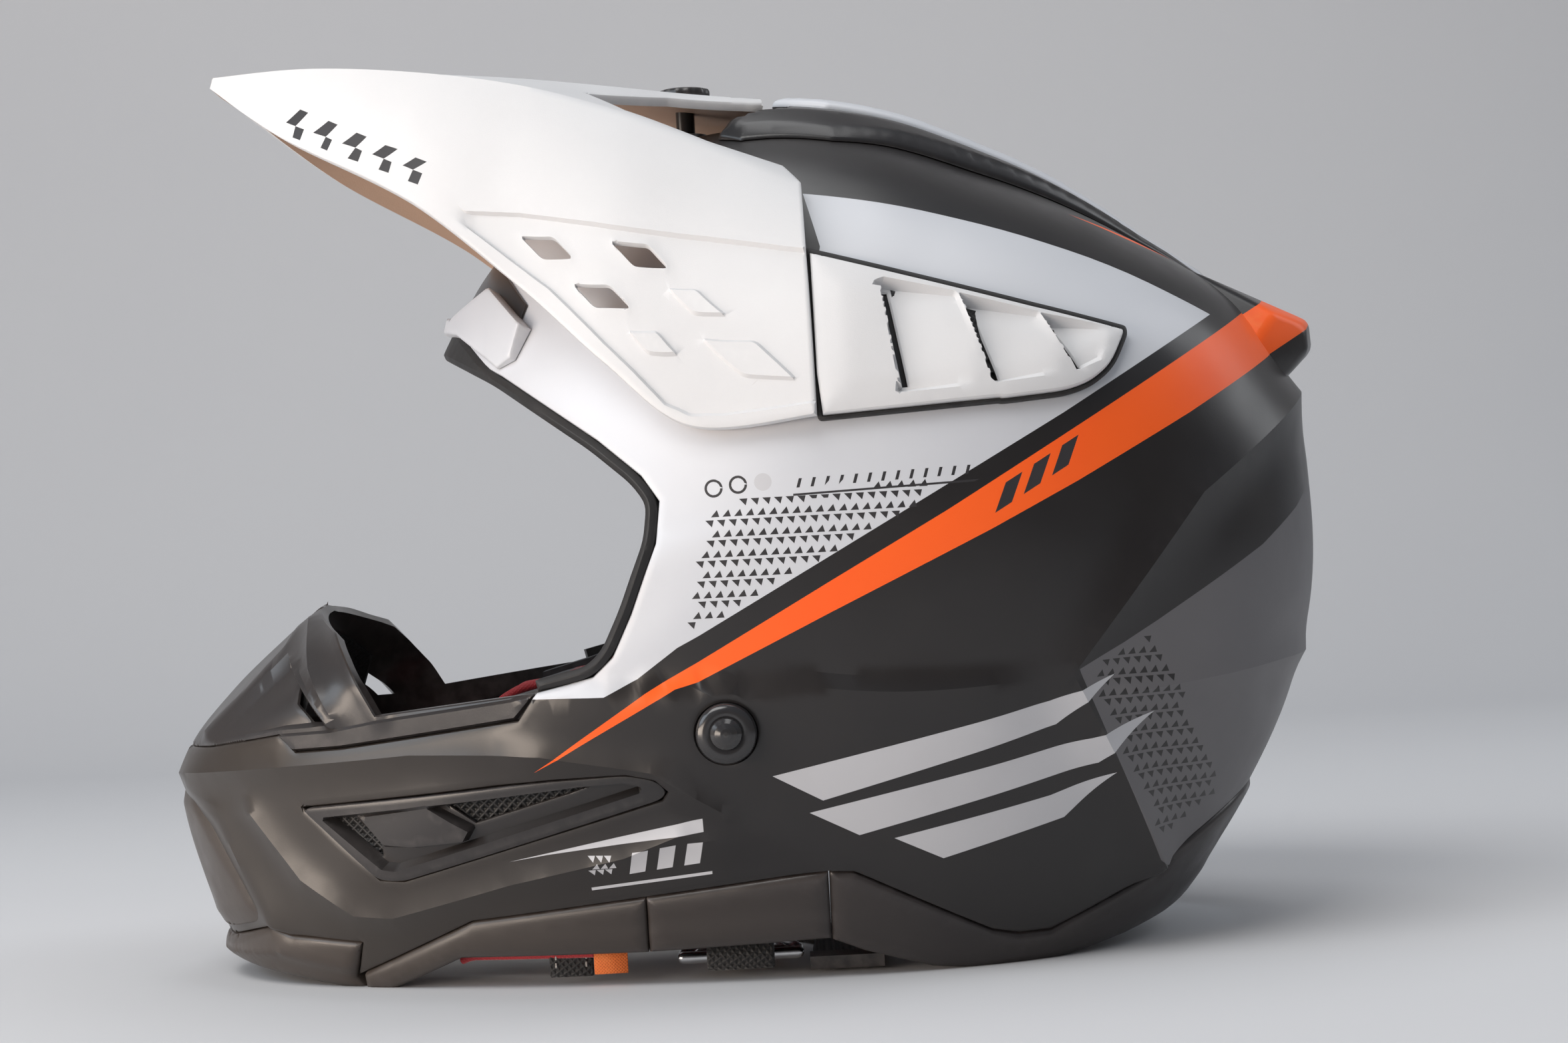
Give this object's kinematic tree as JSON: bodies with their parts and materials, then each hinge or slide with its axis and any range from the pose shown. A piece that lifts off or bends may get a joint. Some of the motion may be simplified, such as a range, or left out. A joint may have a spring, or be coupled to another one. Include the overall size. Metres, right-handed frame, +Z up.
{
  "type": "motocross helmet",
  "caption": "Off-road riding helmet with long tilting peak, louvred side pods, open eye port, vented chin bar, padded lining and ring-buckle chin strap.",
  "frame": {"origin": "middle of the whole helmet's footprint, on the face that it rests on", "axes": "-X points to the front of the helmet, -Y to the rider's left, +Z up"},
  "size_m": [0.3702, 0.254, 0.283],
  "materials": {
    "shell_paint": "matte clear coat over black, white, grey and orange panels on a fibre composite shell",
    "foam": "expanded bead foam",
    "foam_black": "open cell filter foam",
    "liner_fabric": "brushed knit with perforated panels",
    "pad_fabric": "brushed knit with red piping",
    "snap_plastic": "moulded",
    "dark_plastic": "satin moulded",
    "trim_plastic": "soft satin moulded",
    "visor_plastic": "matte moulded white",
    "panel_white": "satin painted white",
    "steel": "zinc plated",
    "ring_steel": "polished",
    "rubber_seal": "matte",
    "mesh": "moulded mesh",
    "webbing": "woven webbing",
    "strap_fabric": "padded knit",
    "red_webbing": "woven tape",
    "orange_tag": "woven label, blank"
  },
  "bodies": {
    "root": {"outer_shell": "shell_paint", "eps_liner": "foam", "snap_foam_left": "foam", "snap_foam_right": "foam", "chin_foam": "foam", "comfort_liner": "liner_fabric", "neck_roll": "liner_fabric", "snap_sockets": "dark_plastic", "visor_pivots": "steel", "knob_insert": "steel", "side_pod_left": "visor_plastic", "side_pod_right": "visor_plastic", "pod_seal_left": "rubber_seal", "pod_seal_right": "rubber_seal", "pod_mesh_left": "mesh", "pod_mesh_right": "mesh", "crown_vent": "dark_plastic", "crown_spine": "panel_white", "brow_vent": "panel_white", "rear_spoiler": "shell_paint", "mouth_vent": "dark_plastic", "mouth_filter": "foam_black", "chin_plate": "dark_plastic", "chin_guard": "trim_plastic", "chin_vent_left": "dark_plastic", "chin_vent_right": "dark_plastic", "chin_mesh_left": "mesh", "chin_mesh_right": "mesh", "eyeport_trim": "rubber_seal", "edge_trim_front_left": "trim_plastic", "edge_trim_front_right": "trim_plastic", "edge_trim_mid_left": "trim_plastic", "edge_trim_mid_right": "trim_plastic", "edge_trim_rear": "trim_plastic", "strap_rivets": "dark_plastic", "rivet_washers": "rubber_seal", "size_tag": "orange_tag"},
    "visor": {"visor": "visor_plastic", "visor_sockets": "visor_plastic"},
    "visor_screw": {"visor_knob": "dark_plastic"},
    "chin_strap": {"strap_left": "webbing", "strap_right": "webbing", "strap_sleeves": "strap_fabric", "strap_end_clip": "dark_plastic"},
    "ring_outer": {"d_ring_outer": "ring_steel", "pull_tab": "red_webbing"},
    "ring_inner": {"d_ring_inner": "ring_steel"},
    "cheek_left": {"cheek_pad_left": "pad_fabric", "pad_studs_left": "snap_plastic", "release_tab_left": "red_webbing"},
    "cheek_right": {"cheek_pad_right": "pad_fabric", "pad_studs_right": "snap_plastic", "release_tab_right": "red_webbing"}
  },
  "joints": [
    {"name": "visor_tilt", "type": "hinge", "parent": "root", "child": "visor", "pos_m": [0.008, 0, 0.17], "axis": [0, 1, 0], "range_deg": [-8, 0]},
    {"name": "visor_screw_turn", "type": "hinge", "parent": "root", "child": "visor_screw", "pos_m": [-0.014, 0, 0.26], "axis": [0, 0, 1], "continuous": true},
    {"name": "strap_swing", "type": "hinge", "parent": "root", "child": "chin_strap", "pos_m": [-0.0085, 0, 0.075], "axis": [0, 1, 0], "range_deg": [-12, 12]},
    {"name": "outer_ring_swing", "type": "hinge", "parent": "chin_strap", "child": "ring_outer", "pos_m": [-0.0085, -0.079, 0.0065], "axis": [1, 0, 0], "range_deg": [0, 20]},
    {"name": "inner_ring_swing", "type": "hinge", "parent": "chin_strap", "child": "ring_inner", "pos_m": [-0.0085, -0.074, 0.0065], "axis": [1, 0, 0], "range_deg": [0, 45]},
    {"name": "left_pad_draw", "type": "slide", "parent": "root", "child": "cheek_left", "axis": [0, 1, 0], "range_m": [0, 0.02]},
    {"name": "right_pad_draw", "type": "slide", "parent": "root", "child": "cheek_right", "axis": [0, -1, 0], "range_m": [0, 0.02]}
  ]
}
